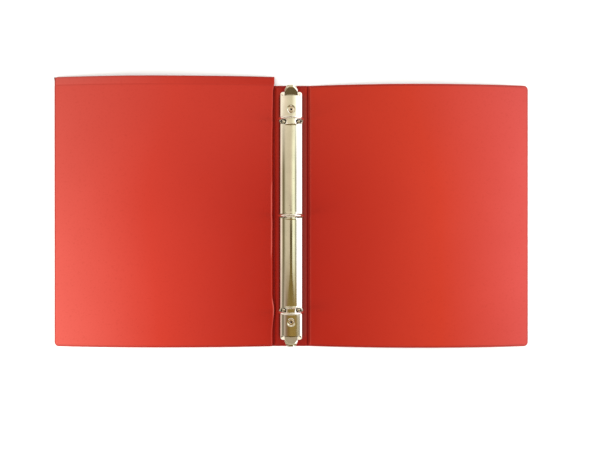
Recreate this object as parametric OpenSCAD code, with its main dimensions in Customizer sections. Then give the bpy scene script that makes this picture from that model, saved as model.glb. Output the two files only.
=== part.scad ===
// Three-ring binder lying open: a welded vinyl case with board stiffeners, and a steel ring mechanism.
// X runs from the front cover (-X) to the rear cover (+X) and Y runs up the spine.
// The back of the spine lies on the plane Z = 0, with the origin at its centre.

/* [Case] */
// Height of the covers and the spine
case_h = 302; // [298:1:310]
// Width of each stiff cover, from its hinge to its free edge
cover_w = 252.6; // [245:0.2:256]
// Width of the stiff part of the spine
spine_w = 36; // [36:0.5:38]
// Width of the bare vinyl that bends between the spine and each cover
hinge_w = 4; // [4:0.1:5]
// Thickness of the board inside each panel
board_t = 2; // [1.8:0.1:2.2]
// Thickness of one vinyl sheet
vinyl_t = 0.5; // [0.4:0.05:0.6]
// Width of the welded edge, where there is no board
weld_w = 3; // [2:0.1:4]
// Distance from each hinge strip to the board beside it
fold_w = 1; // [0.5:0.1:2]
// Radius of the outer corners of the covers
corner_r = 5; // [3:0.5:10]
// Height that the front cover bows up off the table
front_bow = 6; // [4:0.5:6]
// Height that the rear cover bows up off the table
rear_bow = 8; // [4:0.5:8]
// Thickness of the loose pocket panel on the front cover
pocket_t = 0.5; // [0.3:0.05:0.5]
// Length of the pocket panel that stands past the top edge
pocket_lip = 10; // [4:1:12]

/* [Rings] */
// Distance from one ring to the next
ring_pitch = 107.95; // [105:0.05:108]
// Radius of a ring, to the middle of its wire
ring_r = 13.9; // [13.5:0.1:13.9]
// Diameter of the ring wire
wire_d = 2.6; // [2.4:0.1:2.6]
// Angle that each half of a ring swings open
ring_open = 11; // [8:1:11]

/* [Mechanism] */
// Width of the arched shell
shell_w = 25.4; // [25.4:0.1:26]
// Length of the arched part of the shell
shell_l = 274.6; // [272:0.2:278]
// Height of the shell above the spine
shell_h = 8.2; // [8.2:0.1:8.6]
// Thickness of the shell's steel sheet
sheet_t = 0.8; // [0.7:0.05:0.8]
// Thickness of the two hinged rails
rail_t = 0.8; // [0.7:0.05:0.8]
// Distance of each rivet from the middle of the spine
rivet_y = 121.3; // [118:0.1:123]

/* [Hidden] */
$fn = 96;
bow_fn = 1440;            // a cover is a short arc of a very large circle
gap = 0.02;               // clearance of a ring's foot in its rail
through = 1;              // how far a cutter runs past the face that it opens
lap = 0.5;                // how far the pieces of an outline run into each other
tall = 30;                // height of a block that takes in the whole thickness of the part
pocket_start = 0.2;       // gap between the hinge strip and the pocket panel's free edge

panel_t = board_t + 2 * vinyl_t;
spine_half = spine_w / 2;
hinge_edge = spine_half + hinge_w;
hinge_strip_t = 2 * vinyl_t;

// The shell: a D-shaped arch on short walls, open underneath between two lips
shell_half = shell_w / 2;
shell_base = panel_t;
crown_z = shell_base + shell_h;
arch_rise = 4.7;
arch_r = (shell_half * shell_half + arch_rise * arch_rise) / (2 * arch_rise);
arch_z = crown_z - arch_r;
lip_w = 2.4;
slot_w = 4;               // a ring slot, across the wire
slot_x = 8.3;             // centre of the slot's round inner end
slot_z = shell_base + 2.2;
dimple_r = 3.3;           // flat floor of the dimple under each rivet head
dimple_depth = 1;
dimple_flare = 1.5;       // how much wider the dimple's bowl is at its upper edge
dimple_rim = 0.6;         // how far the bowl's upper edge stands over the crown

// The ears that carry a trigger at each end of the shell
ear_in = 7.7;
ear_start = shell_l / 2 - 0.7;
ear_end = shell_l / 2 + 5.3;
ear_tip_x = 9.6;
ear_high = crown_z - 1.4; // the ear's top slopes from this height ...
ear_low = shell_base + 3.8; // ... down to this one at its tip
ear_slope_start = shell_l / 2 + 0.4;

// The rails: two blades whose outer edges turn inside the shell's walls
rail_x = shell_half - sheet_t - 1;
rail_z = shell_base + 2.7;
rail_dip = ring_open / 2; // closed, the rails sag this far below level
rail_reach = rail_x - 0.05;
rail_l = 272;             // full-width length
tongue_l = 276;           // length of the narrow ends that the triggers move
tongue_w = 7.2;

// The rings
wire_r = wire_d / 2;
ring_z = 16.6;
foot_angle = 58;          // where the wire ends, below level
foot_r = wire_r + 0.1;    // peened end under the rail
tip_reach = 4.9;          // how far each half's tongue runs past the top, in degrees
tip_gap = 0.4;            // clearance at the end of a tongue, in degrees
tip_split = 0.04;         // half the clearance between the two tongues

// The rivets
rivet_head_r = 4.5;
rivet_r = 2.2;
rivet_post_r = 3;
rivet_cap_r = 3.3;
rivet_cap_h = 0.6;
rivet_bore_r = 1.15;
rivet_fit = 0.05;         // clearance of a rivet in its holes
rivet_bevel = 0.3;        // on the edges of the cap
rail_notch_r = 3.7;       // clears the post

// The triggers, drawn along Y from the pivot: u is outwards and v is up
trigger_y = shell_l / 2 + 3;
trigger_z = shell_base + 2.2;
trigger_half = 7.4;
trigger_taper = 2.5;      // distance from the pivot at which the plate starts to narrow
trigger_tip = 8.1;
trigger_tip_half = 5.9;
trigger_tip_r = 2.6;
hub_r = 1.6;
lug_r = 0.8;
lug_reach = 9.6;
lug_fit = 0.05;
finger_half = 1.6;        // the finger under the rails
finger_l = 5;
finger_t = 0.65;
finger_z = -1.9;

VINYL = "firebrick";
BOARD = "tan";
STEEL = "silver";
DARK_STEEL = "slategray";

// ---- Case ----

// Outline of the right-hand cover from above, pulled in by "inset" on three sides and "near" at the hinge
module cover_outline(inset, near) {
    half = case_h / 2 - inset;
    far = cover_w - inset;
    r = corner_r - inset / 2;
    translate([near, -half]) square([far - near - r, 2 * half]);
    translate([far - r - lap, -half + r]) square([r + lap, 2 * (half - r)]);
    for (side = [-1, 1]) translate([far - r, side * (half - r)]) circle(r = r);
}

// Outline of the pocket panel: square at the top, where it stands proud of the cover
module pocket_outline() {
    half = case_h / 2;
    corner_x = cover_w - corner_r;
    corner_y = corner_r - half;
    length = case_h + pocket_lip;
    translate([pocket_start, -half]) square([corner_x - pocket_start, length]);
    translate([corner_x - lap, corner_y]) square([corner_r + lap, length - corner_r]);
    translate([corner_x, corner_y]) circle(r = corner_r);
}

// The layer from "low" to "high" of a bowed cover, cut to the outline given as a child
module bowed_layer(bow, low, high) {
    bow_r = (cover_w * cover_w / 4 + bow * bow) / (2 * bow);
    sweep = asin((cover_w / 2 + corner_r) / bow_r);
    length = case_h + 4 * pocket_lip;
    translate([hinge_edge, 0, 0]) intersection() {
        translate([cover_w / 2, 0, bow - bow_r]) rotate([0, sweep - 90, 0]) rotate([90, 0, 0])
            rotate_extrude(angle = 2 * sweep, $fn = bow_fn)
                translate([bow_r + low, -length / 2]) square([high - low, length]);
        translate([0, 0, -tall / 2]) linear_extrude(height = tall) children();
    }
}

module cover_outer_skin(bow) bowed_layer(bow, 0, vinyl_t) cover_outline(0, 0);

module cover_board(bow) bowed_layer(bow, vinyl_t, vinyl_t + board_t) cover_outline(weld_w, fold_w);

// The inner sheet with its welded edge, which closes round the board
module cover_inner_skin(bow) {
    difference() {
        bowed_layer(bow, vinyl_t, panel_t) cover_outline(0, 0);
        bowed_layer(bow, 0, vinyl_t + board_t) cover_outline(weld_w, fold_w);
    }
}

module hinge_strip() {
    translate([spine_half, -case_h / 2, 0]) cube([hinge_w, case_h, hinge_strip_t]);
}

module front_side() mirror([1, 0, 0]) children();

module front_outer_skin() color(VINYL) front_side() cover_outer_skin(front_bow);
module front_board() color(BOARD) front_side() cover_board(front_bow);
module front_inner_skin() color(VINYL) front_side() cover_inner_skin(front_bow);
module front_hinge_strip() color(VINYL) front_side() hinge_strip();
module front_pocket_panel() {
    color(VINYL) front_side() bowed_layer(front_bow, panel_t, panel_t + pocket_t) pocket_outline();
}

module rear_outer_skin() color(VINYL) cover_outer_skin(rear_bow);
module rear_board() color(BOARD) cover_board(rear_bow);
module rear_inner_skin() color(VINYL) cover_inner_skin(rear_bow);
module rear_hinge_strip() color(VINYL) hinge_strip();

// A flat layer of the spine with a hole for each rivet, pulled in at its sides and at its ends
module spine_layer(low, high, sides, ends, hole_r) {
    difference() {
        translate([sides - spine_half, ends - case_h / 2, low])
            cube([spine_w - 2 * sides, case_h - 2 * ends, high - low]);
        for (side = [-1, 1]) translate([0, side * rivet_y, low - through])
            cylinder(r = hole_r, h = high - low + 2 * through);
    }
}

module spine_outer_skin() color(VINYL) spine_layer(0, vinyl_t, 0, 0, rivet_head_r + rivet_fit);

module spine_board() {
    color(BOARD) spine_layer(vinyl_t, vinyl_t + board_t, fold_w, weld_w, rivet_r + rivet_fit);
}

module spine_inner_skin() {
    color(VINYL) difference() {
        spine_layer(vinyl_t, panel_t, 0, 0, rivet_r + rivet_fit);
        translate([fold_w - spine_half, weld_w - case_h / 2, 0])
            cube([spine_w - 2 * fold_w, case_h - 2 * weld_w, vinyl_t + board_t]);
    }
}

// ---- Shell and rivets ----

// Lays an X-Z section along Y
module along_y(length) rotate([90, 0, 0]) linear_extrude(height = length, center = true) children();

// The D-shaped section of the shell, "inset" inside its outer face, standing on "base"
module arch_section(inset, base) {
    intersection() {
        translate([0, arch_z]) circle(r = arch_r - inset, $fn = 4 * $fn);
        translate([inset - shell_half, base]) square([shell_w - 2 * inset, shell_h + through]);
    }
}

// One side's ear, solid, with a sloping top and a bevelled outer corner
module ear() {
    intersection() {
        along_y(2 * ear_end + 2 * through) arch_section(0, shell_base);
        linear_extrude(height = tall) polygon([
            [ear_in, ear_start], [shell_half, ear_start], [shell_half, shell_l / 2],
            [ear_tip_x, ear_end], [ear_in, ear_end]
        ]);
        rotate([90, 0, 90]) linear_extrude(height = tall) polygon([
            [ear_start, 0], [ear_end, 0], [ear_end, ear_low],
            [ear_slope_start, ear_high], [ear_start, ear_high]
        ]);
    }
}

// Cutter for one ring slot: round at its inner end, open over the shoulder of the shell
module ring_slot() {
    height = crown_z - slot_z + through;
    translate([slot_x, 0, slot_z]) {
        cylinder(d = slot_w, h = height);
        translate([0, -slot_w / 2, 0]) cube([shell_half - slot_x + through, slot_w, height]);
    }
}

// A dimple's conical bowl, "inset" below the visible face
module dimple_bowl(inset) {
    bottom = crown_z - dimple_depth - inset;
    translate([0, 0, bottom])
        cylinder(
            r1 = dimple_r + inset / 2, r2 = dimple_r + dimple_flare + inset / 2,
            h = dimple_depth + dimple_rim
        );
}

module ring_shell() {
    color(STEEL) difference() {
        union() {
            difference() {
                along_y(shell_l) arch_section(0, shell_base);
                along_y(shell_l + 2 * through) arch_section(sheet_t, shell_base + sheet_t);
            }
            intersection() {
                along_y(shell_l) arch_section(0, shell_base);
                for (side = [-1, 1]) translate([0, side * rivet_y, 0]) dimple_bowl(sheet_t);
            }
            for (sx = [0, 1], sy = [0, 1]) mirror([sx, 0, 0]) mirror([0, sy, 0]) ear();
        }
        translate([lip_w - shell_half, -shell_l, 0])
            cube([shell_w - 2 * lip_w, 2 * shell_l, shell_base + 2 * sheet_t]);
        for (sy = [-1, 1]) translate([0, sy * trigger_y, trigger_z])
            rotate([0, 90, 0]) cylinder(r = lug_r + lug_fit, h = 2 * shell_w, center = true);
        for (row = [-1:1], sx = [0, 1]) mirror([sx, 0, 0]) translate([0, row * ring_pitch, 0]) ring_slot();
        for (side = [-1, 1]) translate([0, side * rivet_y, 0]) {
            dimple_bowl(0);
            cylinder(r = rivet_r + rivet_fit, h = 2 * crown_z);
        }
    }
}

// A hollow rivet: flush head on the back, a post that holds the shell up, and a turned-over cap
module rivet() {
    cap_z = crown_z - dimple_depth;
    post_top = cap_z - sheet_t;
    cap_top = cap_z + rivet_cap_h;
    rotate_extrude() polygon([
        [0, 0], [rivet_head_r, 0], [rivet_head_r, vinyl_t], [rivet_r, vinyl_t], [rivet_r, panel_t],
        [rivet_post_r, panel_t], [rivet_post_r, post_top], [rivet_r, post_top], [rivet_r, cap_z],
        [rivet_cap_r, cap_z], [rivet_cap_r, cap_top - rivet_bevel], [rivet_cap_r - rivet_bevel, cap_top],
        [rivet_bore_r + rivet_bevel, cap_top], [rivet_bore_r, cap_top - rivet_bevel],
        [rivet_bore_r, panel_t], [0, panel_t]
    ]);
}

module top_rivet() color(STEEL) translate([0, rivet_y, 0]) rivet();
module bottom_rivet() color(STEEL) translate([0, -rivet_y, 0]) rivet();

// ---- Rings and rails ----

// The wire of a right-hand half ring, "grow" thicker than it is, in the X-Z plane
module ring_wire(grow) {
    translate([0, 0, ring_z]) {
        rotate([0, foot_angle, 0]) rotate([90, 0, 0])
            rotate_extrude(angle = foot_angle + 90 + tip_reach)
                translate([ring_r, 0]) circle(r = wire_r + grow);
        rotate([0, foot_angle, 0]) translate([ring_r, 0, 0]) sphere(r = foot_r + grow);
    }
}

// A right-hand half ring: its tip is halved, so that it laps beside the other half's tip
module half_ring() {
    tip_start = 90 - tip_reach - tip_gap;
    difference() {
        ring_wire(0);
        translate([0, 0, ring_z]) rotate([0, -tip_start, 0]) translate([0, -wire_d, 0])
            cube([2 * ring_r, wire_d + tip_split, ring_r]);
    }
}

// A right-hand rail: a blade that turns about its round outer edge and dips towards the middle
module rail() {
    difference() {
        translate([rail_x, 0, rail_z]) rotate([0, -rail_dip, 0]) {
            along_y(rail_l) {
                circle(d = rail_t);
                translate([-rail_reach, -rail_t / 2]) square([rail_reach, rail_t]);
            }
            translate([-rail_reach, -tongue_l / 2, -rail_t / 2]) cube([tongue_w, tongue_l, rail_t]);
        }
        for (row = [-1:1]) translate([0, row * ring_pitch, 0]) ring_wire(gap);
        for (side = [-1, 1]) translate([0, side * rivet_y, 0]) cylinder(r = rail_notch_r, h = crown_z);
    }
}

module right_rail() color(DARK_STEEL) rail();
module right_ring_top() color(STEEL) translate([0, ring_pitch, 0]) half_ring();
module right_ring_middle() color(STEEL) half_ring();
module right_ring_bottom() color(STEEL) translate([0, -ring_pitch, 0]) half_ring();

// The left-hand pieces are the right-hand ones turned half a turn about Z
module left_rail() color(DARK_STEEL) rotate([0, 0, 180]) rail();
module left_ring_top() color(STEEL) translate([0, ring_pitch, 0]) rotate([0, 0, 180]) half_ring();
module left_ring_middle() color(STEEL) rotate([0, 0, 180]) half_ring();
module left_ring_bottom() color(STEEL) translate([0, -ring_pitch, 0]) rotate([0, 0, 180]) half_ring();

// ---- Triggers ----

// The trigger's bent plate from the side: a lip over the rails, a rising tab and a flared end
module trigger_section() {
    polygon([
        [-3.6, 1.1], [0.9, 1.1], [4.9, 6.5], [trigger_tip, 7.8], [7.9, 8.7],
        [4.3, 7.4], [0.4, 1.9], [-3.6, 1.9]
    ]);
}

// The plate from above: it narrows to a tip with round corners
module trigger_outline() {
    corner_x = trigger_tip_half - trigger_tip_r;
    corner_y = trigger_tip - trigger_tip_r;
    polygon([
        [-trigger_half, -4], [trigger_half, -4], [trigger_half, trigger_taper],
        [trigger_tip_half, corner_y], [-trigger_tip_half, corner_y], [-trigger_half, trigger_taper]
    ]);
    translate([-corner_x, corner_y - lap]) square([2 * corner_x, trigger_tip_r + lap]);
    for (side = [-1, 1]) translate([side * corner_x, corner_y]) circle(r = trigger_tip_r);
}

module trigger() {
    translate([0, trigger_y, trigger_z]) {
        rotate([0, 90, 0]) {
            cylinder(r = hub_r, h = 2 * trigger_half, center = true);
            cylinder(r = lug_r, h = 2 * lug_reach, center = true);
        }
        intersection() {
            rotate([90, 0, 90]) linear_extrude(height = 2 * trigger_half, center = true) trigger_section();
            linear_extrude(height = tall) trigger_outline();
        }
        translate([-finger_half, -finger_l, finger_z]) cube([2 * finger_half, finger_l, finger_t]);
    }
}

module top_trigger() color(STEEL) trigger();
module bottom_trigger() color(STEEL) rotate([0, 0, 180]) trigger();

spine_outer_skin();
spine_board();
spine_inner_skin();
front_outer_skin();
front_board();
front_inner_skin();
front_pocket_panel();
front_hinge_strip();
rear_outer_skin();
rear_board();
rear_inner_skin();
rear_hinge_strip();
ring_shell();
top_rivet();
bottom_rivet();
left_rail();
left_ring_top();
left_ring_middle();
left_ring_bottom();
right_rail();
right_ring_top();
right_ring_middle();
right_ring_bottom();
top_trigger();
bottom_trigger();
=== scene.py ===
import math

import bpy
import numpy as np
from mathutils import Matrix, Vector


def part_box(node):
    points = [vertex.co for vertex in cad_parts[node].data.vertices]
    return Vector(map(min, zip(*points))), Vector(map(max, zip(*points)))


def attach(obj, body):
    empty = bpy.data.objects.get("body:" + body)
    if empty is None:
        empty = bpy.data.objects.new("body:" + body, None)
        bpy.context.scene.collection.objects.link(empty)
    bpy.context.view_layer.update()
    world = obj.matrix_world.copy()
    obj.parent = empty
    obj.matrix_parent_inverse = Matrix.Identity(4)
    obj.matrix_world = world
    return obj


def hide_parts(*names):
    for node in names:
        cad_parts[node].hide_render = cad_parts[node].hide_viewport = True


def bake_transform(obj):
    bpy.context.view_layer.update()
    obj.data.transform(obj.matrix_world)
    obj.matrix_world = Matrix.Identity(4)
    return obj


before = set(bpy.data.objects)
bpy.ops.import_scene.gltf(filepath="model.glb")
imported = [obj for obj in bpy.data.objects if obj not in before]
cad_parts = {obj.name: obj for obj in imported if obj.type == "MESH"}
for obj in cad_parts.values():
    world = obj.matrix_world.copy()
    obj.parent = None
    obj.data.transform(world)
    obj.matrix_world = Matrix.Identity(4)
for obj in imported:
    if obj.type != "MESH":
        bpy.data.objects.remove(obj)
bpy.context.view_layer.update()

MM = 0.001
FRONT, REAR = -1, 1          # the side of the spine that a cover lies on, as the sign of X

# ---- Sizes taken from the frame ----

spine_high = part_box("spine_outer_skin")[1]
rear_low, rear_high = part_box("rear_outer_skin")
shell_low, shell_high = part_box("ring_shell")
rivet_low, rivet_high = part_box("top_rivet")
RING_BOXES = [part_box(f"right_ring_{name}") for name in ("top", "middle", "bottom")]

VINYL_T = spine_high.z
PANEL_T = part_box("spine_inner_skin")[1].z
STRIP_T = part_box("rear_hinge_strip")[1].z
HALF_H = rear_high.y
FAR = rear_high.x            # free edge of a cover, from the middle of the spine
HINGE_IN = spine_high.x
HINGE_OUT = rear_low.x
LIP_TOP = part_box("front_pocket_panel")[1].y
BOW = {FRONT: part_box("front_outer_skin")[1].z - VINYL_T, REAR: rear_high.z - VINYL_T}
SHELL_HALF = shell_high.x
SHELL_BASE = shell_low.z
SHELL_END = shell_high.y
CROWN_Z = shell_high.z
RIVET_Y = (rivet_low.y + rivet_high.y) / 2
RING_Y = [(low.y + high.y) / 2 for low, high in RING_BOXES]
WIRE_R = 1.3 * MM
RING_R = RING_BOXES[0][1].x - WIRE_R                 # to the middle of the wire
RING_Z = RING_BOXES[0][1].z - RING_R - WIRE_R


# ---- Mesh helpers ----

def smooth(t):
    """Rises from 0 to 1 in a soft step as t does."""
    t = np.clip(t, 0, 1)
    return t * t * (3 - 2 * t)


def mix(low, high, t):
    return low + (high - low) * t


def hill(offset, width, power=2):
    """1 at offset 0, and falling away over about a width on both sides."""
    return np.exp(-(offset / width) ** power)


def new_object(name, verts, faces, sharp_deg=40):
    mesh = bpy.data.meshes.new(name)
    mesh.from_pydata(np.asarray(verts, float).reshape(-1, 3).tolist(), [], faces)
    mesh.validate()
    mesh.shade_smooth()
    mesh.set_sharp_from_angle(angle=math.radians(sharp_deg))
    obj = bpy.data.objects.new(name, mesh)
    bpy.context.scene.collection.objects.link(obj)
    return obj


def grid_faces(rows, cols, start=0, flip=False):
    faces = []
    for i in range(rows - 1):
        for j in range(cols - 1):
            a = start + i * cols + j
            quad = (a, a + 1, a + cols + 1, a + cols)
            faces.append(quad[::-1] if flip else quad)
    return faces


def closed_sheet(name, top, bottom, flip=False):
    """A closed sheet between two grids of points, whose rows run along Y and columns along X."""
    rows, cols = top.shape[:2]
    count = rows * cols
    verts = np.concatenate([top.reshape(-1, 3), bottom.reshape(-1, 3)])
    faces = grid_faces(rows, cols, 0, flip) + grid_faces(rows, cols, count, not flip)
    rim = list(range(cols))
    rim += [i * cols + cols - 1 for i in range(1, rows)]
    rim += [(rows - 1) * cols + j for j in range(cols - 2, -1, -1)]
    rim += [i * cols for i in range(rows - 2, 0, -1)]
    for a, b in zip(rim, rim[1:] + rim[:1]):
        quad = (a, a + count, b + count, b)
        faces.append(quad[::-1] if flip else quad)
    return new_object(name, verts, faces)


def loft(name, rings, sharp_deg=40):
    """A closed solid through a list of closed rings of points, capped at both ends."""
    rings = np.asarray(rings, float)
    count, size = rings.shape[:2]
    faces = []
    for i in range(count - 1):
        for j in range(size):
            a, b = i * size + j, i * size + (j + 1) % size
            faces.append((a, b, b + size, a + size))
    faces.append(tuple(range(size - 1, -1, -1)))
    faces.append(tuple((count - 1) * size + j for j in range(size)))
    return new_object(name, rings.reshape(-1, 3), faces, sharp_deg)


def boolean(obj, cutter, operation="DIFFERENCE"):
    """Applies a boolean to obj's own mesh and removes the cutter."""
    bpy.context.view_layer.update()
    modifier = obj.modifiers.new("Cut", "BOOLEAN")
    modifier.operation = operation
    modifier.solver = "EXACT"
    modifier.object = cutter
    graph = bpy.context.evaluated_depsgraph_get()
    mesh = bpy.data.meshes.new_from_object(obj.evaluated_get(graph))
    obj.modifiers.clear()
    old = obj.data
    obj.data = mesh
    bpy.data.meshes.remove(old)
    bpy.data.objects.remove(cutter)
    mesh.shade_smooth()
    mesh.set_sharp_from_angle(angle=math.radians(35))


def prism(name, outline, low, high):
    """A solid that stands on an outline of (x, y) points."""
    return loft(name, [[(x, y, z) for x, y in outline] for z in (low, high)])


def cylinder_x(name, radius, half, y, z, sides=32):
    """A cylinder along X through (0, y, z)."""
    turn = [2 * math.pi * k / sides for k in range(sides)]
    ring = [(y + radius * math.cos(t), z + radius * math.sin(t)) for t in turn]
    return loft(name, [[(x, v, w) for v, w in ring] for x in (-half, half)])


def lathe(name, profile, y, sides=64):
    """A closed turned part about a vertical axis at (0, y); the profile is (radius, z) from axis to axis."""
    verts = [(0, y, profile[0][1]), (0, y, profile[-1][1])]
    inner = profile[1:-1]
    for r, z in inner:
        for k in range(sides):
            t = 2 * math.pi * k / sides
            verts.append((r * math.cos(t), y + r * math.sin(t), z))
    faces = []
    last = 2 + (len(inner) - 1) * sides
    for k in range(sides):
        n = (k + 1) % sides
        faces.append((0, 2 + n, 2 + k))
        faces.append((1, last + k, last + n))
        for i in range(len(inner) - 1):
            a = 2 + i * sides
            faces.append((a + k, a + n, a + sides + n, a + sides + k))
    return new_object(name, verts, faces)


def arc(cx, cy, radius, start_deg, end_deg, steps):
    """Points of an arc in any plane, as a list of pairs."""
    turn = np.radians(np.linspace(start_deg, end_deg, steps + 1))
    return list(zip(cx + radius * np.cos(turn), cy + radius * np.sin(turn)))


def graded(*spans):
    """Places from spans of (start, end, step), each about one step apart."""
    places = []
    for start, end, step in spans:
        count = max(1, round((end - start) / step))
        places += list(np.linspace(start, end, count + 1))[:-1]
    return places + [spans[-1][1]]


def add_attribute(obj, name, values):
    """Stores one number per vertex for the materials; both faces of a sheet get its grid's numbers."""
    values = np.asarray(values, np.float32).ravel()
    values = np.tile(values, len(obj.data.vertices) // len(values))
    attribute = obj.data.attributes.new(name, "FLOAT", "POINT")
    attribute.data.foreach_set("value", values)


# ---- The vinyl case ----
# "a" is the distance from the middle of the spine, on either side.

CORNER_R = 5 * MM
WELD_W = 1.9 * MM                            # flat welded edge round the boards
WELD_RAMP = 1.1 * MM                         # the skin climbs on to the board over this width
SEAM_X = SHELL_HALF - 1.7 * MM               # the case's three meshes meet here, under the shell
FOLD_AT = {FRONT: 20.2 * MM, REAR: 19 * MM}  # the line along which each hinge folds
EDGE_STEPS = [0, 0.08 * MM, 0.2 * MM, *graded((0.35 * MM, 3.1 * MM, 0.25 * MM)), 3.6 * MM, 4.4 * MM, 5.5 * MM]


def underside(side, a):
    """Height of a cover's back: a shallow arch between the hinge and the free edge."""
    width = FAR - HINGE_OUT
    bow = BOW[side]
    radius = (width * width / 4 + bow * bow) / (2 * bow)
    middle = (FAR + HINGE_OUT) / 2
    arch = bow - radius + np.sqrt(radius ** 2 - (np.clip(a, HINGE_OUT, FAR) - middle) ** 2)
    return np.where(a < HINGE_OUT, 0.0, arch)


def edge_distance(a, y):
    """Distance inwards from the case's outline, which has round outer corners."""
    qx = a - (FAR - CORNER_R)
    qy = np.abs(y) - (HALF_H - CORNER_R)
    outside = np.hypot(np.maximum(qx, 0), np.maximum(qy, 0))
    return CORNER_R - outside - np.minimum(np.maximum(qx, qy), 0)


def corner_inset(y):
    """How far the round corner pulls the free edge in at height y."""
    past = np.clip(np.abs(y) - (HALF_H - CORNER_R), 0, CORNER_R)
    return CORNER_R - np.sqrt(CORNER_R ** 2 - past ** 2)


def follow(distance):
    """How much of an edge's shape the grid takes on at a distance from that edge."""
    return np.clip(1 - distance / (30 * MM), 0, 1)


def inside(distance):
    """0 beside the outline, where the skins are welded, and 1 well inside it, where they are loose."""
    return smooth((distance - 4 * MM) / (10 * MM))


def round_rim(distance, depth, width):
    """How far a face draws back beside an edge, which rounds that edge."""
    return depth * (1 - np.clip(distance / width, 0, 1)) ** 2


def hinge_profile(side, a):
    """Thickness across the hinge: the panels fall to the bare strip, which has a fold line along it."""
    lead = 1.4 * MM
    down = smooth((a - HINGE_IN + lead) / (2.3 * MM))
    up = smooth((a - HINGE_OUT + lead) / (1.8 * MM))
    fold = 0.35 * MM * hill(a - FOLD_AT[side], 0.45 * MM)
    return mix(PANEL_T, STRIP_T, down - up) - fold


def waves(side, a, y):
    """Low, broad waves of the loose skin."""
    wave = 0.055 * MM * np.sin(a / (37 * MM) + y / (71 * MM) + side)
    wave += 0.05 * MM * np.sin(y / (43 * MM) - a / (90 * MM) + 2 * side)
    return wave + 0.03 * MM * np.sin(a / (17 * MM) + 1.3) * np.sin(y / (23 * MM) + side)


def ring_dents(a, y):
    """Dents where the closed rings press on a cover, and small puckers between them and the hinge."""
    dents = np.zeros_like(a)
    for ring_y in RING_Y:
        dents += 0.28 * MM * hill(a - 32 * MM, 7 * MM) * hill(y - ring_y - 2 * MM, 6 * MM)
        pucker = hill(a - 25 * MM, 3 * MM) * hill(y - ring_y, 10 * MM)
        dents += 0.12 * MM * pucker * np.sin((y - ring_y) / (1.6 * MM))
    return dents


def relief(side, a, y):
    """Gentle unevenness of a cover's skin, which the hinge strip doesn't have."""
    return (waves(side, a, y) - ring_dents(a, y)) * smooth((a - HINGE_OUT) / (4 * MM))


def weld_profile(distance):
    """Height of the inner skin over the outer one's underside near the outline: weld bead, ramp and panel."""
    bead = 0.16 * MM * hill(distance - 1.15 * MM, 0.28 * MM)
    climb = mix(STRIP_T, PANEL_T, smooth((distance - WELD_W) / WELD_RAMP))
    return climb + bead - round_rim(distance, 0.3 * MM, 0.3 * MM)


def case_top(side, a, y):
    distance = edge_distance(a, y)
    height = np.minimum(weld_profile(distance), hinge_profile(side, a))
    return underside(side, a) + height + relief(side, a, y) * inside(distance)


def case_bottom(side, a, y):
    """The back, with a pressed groove along each edge of the hinge."""
    beside_edge = 0.6 * MM
    grooves = 0
    for line in (HINGE_IN + beside_edge, HINGE_OUT - beside_edge):
        grooves = grooves + 0.3 * MM * hill(a - line, 0.4 * MM)
    return underside(side, a) + round_rim(edge_distance(a, y), 0.3 * MM, 0.3 * MM) + grooves


def case_rows():
    """Heights of the case's rows, close together along its two ends."""
    middle = graded((-HALF_H + 7 * MM, HALF_H - 7 * MM, 3 * MM))
    return [-HALF_H + e for e in EDGE_STEPS] + middle + [HALF_H - e for e in EDGE_STEPS[::-1]]


def cover_case(side, name):
    """One cover with its hinge, from under the ring mechanism to the free edge."""
    columns = graded((SEAM_X, 15 * MM, 2 * MM), (15 * MM, 25.5 * MM, 0.25 * MM),
                     (25.5 * MM, 45 * MM, 1.5 * MM), (45 * MM, FAR - 8 * MM, 5 * MM))
    columns += [FAR - e for e in EDGE_STEPS[::-1]]
    nominal, y = np.meshgrid(columns, case_rows())
    a = nominal - corner_inset(y) * follow(FAR - nominal)
    top = np.dstack([side * a, y, case_top(side, a, y)])
    bottom = np.dstack([side * a, y, case_bottom(side, a, y)])
    case = closed_sheet(name, top, bottom, flip=side == FRONT)
    colour_cover(case, side, a, y)
    return case


def spine_case():
    """The spine's skins, with a recess in the back round each rivet's head."""
    dense = 7 * MM
    rows = set(case_rows())
    for end in (-1, 1):
        rows |= set(graded((end * RIVET_Y - dense, end * RIVET_Y + dense, 0.5 * MM)))
    columns = graded((-SEAM_X, -6 * MM, 1 * MM), (-6 * MM, 6 * MM, 0.5 * MM), (6 * MM, SEAM_X, 1 * MM))
    x, y = np.meshgrid(columns, sorted(rows))
    a = np.abs(x)
    to_rivet = np.hypot(x, np.abs(y) - RIVET_Y)
    recess = VINYL_T * (1 - smooth((to_rivet - 4.5 * MM) / (0.8 * MM)))
    top = np.dstack([x, y, case_top(REAR, a, y)])
    bottom = np.dstack([x, y, case_bottom(REAR, a, y) + recess])
    spine = closed_sheet("spine_case", top, bottom)
    add_attribute(spine, "edge", wear(edge_distance(a, y)))
    # Painted shade in the channels beside the ring mechanism.
    add_attribute(spine, "fold", painted_hinge_shade(REAR, a))
    return spine


# ---- Where the vinyl is worn, and where painted light, shade, shadow, sheen and highlight go ----

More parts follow.
